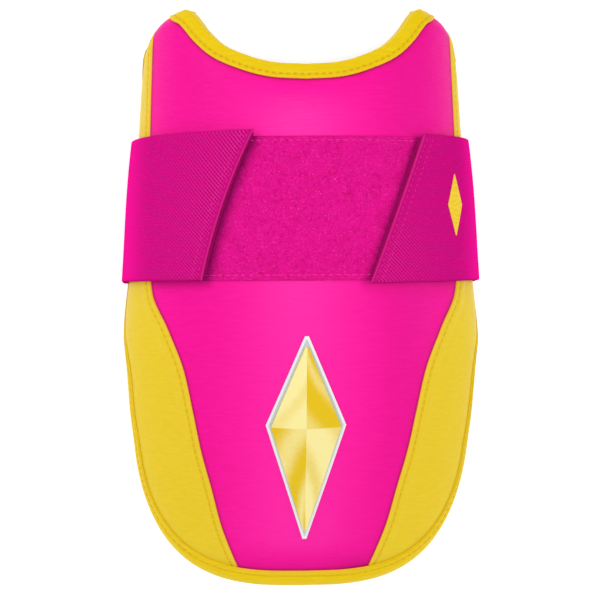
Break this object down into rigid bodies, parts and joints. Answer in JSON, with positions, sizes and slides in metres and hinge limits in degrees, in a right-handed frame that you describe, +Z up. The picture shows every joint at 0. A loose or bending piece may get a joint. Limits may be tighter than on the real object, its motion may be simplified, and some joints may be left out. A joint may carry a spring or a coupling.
{
  "type": "elbow guard",
  "caption": "Curved padded leather elbow guard for a batter, with a scooped upper edge, a round lower lobe and an elastic strap fastened across the front.",
  "frame": {"origin": "centre of the guard's box at the level of the surface that it lies on", "axes": "+Z up out of the guard's front, with the guard on its back; +Y along the arm towards the scooped upper edge; +X across"},
  "size_m": [0.1578, 0.2514, 0.0715],
  "materials": {
    "lining": "matte",
    "pink_leather": "satin",
    "yellow_leather": "satin",
    "loop_pile": "fuzzy",
    "hook_tape": "matte",
    "elastic": "ribbed",
    "silver_trim": "glossy",
    "gold_trim": "glossy"
  },
  "bodies": {
    "root": {"pad_body": "lining", "front_panel": "pink_leather", "side_panel_left": "yellow_leather", "side_panel_right": "yellow_leather", "edge_binding": "yellow_leather", "loop_patch": "loop_pile", "hook_tab_left": "hook_tape", "hook_tab_right": "hook_tape", "strap": "elastic", "badge_backing": "silver_trim", "badge_face": "gold_trim"}
  },
  "joints": []
}
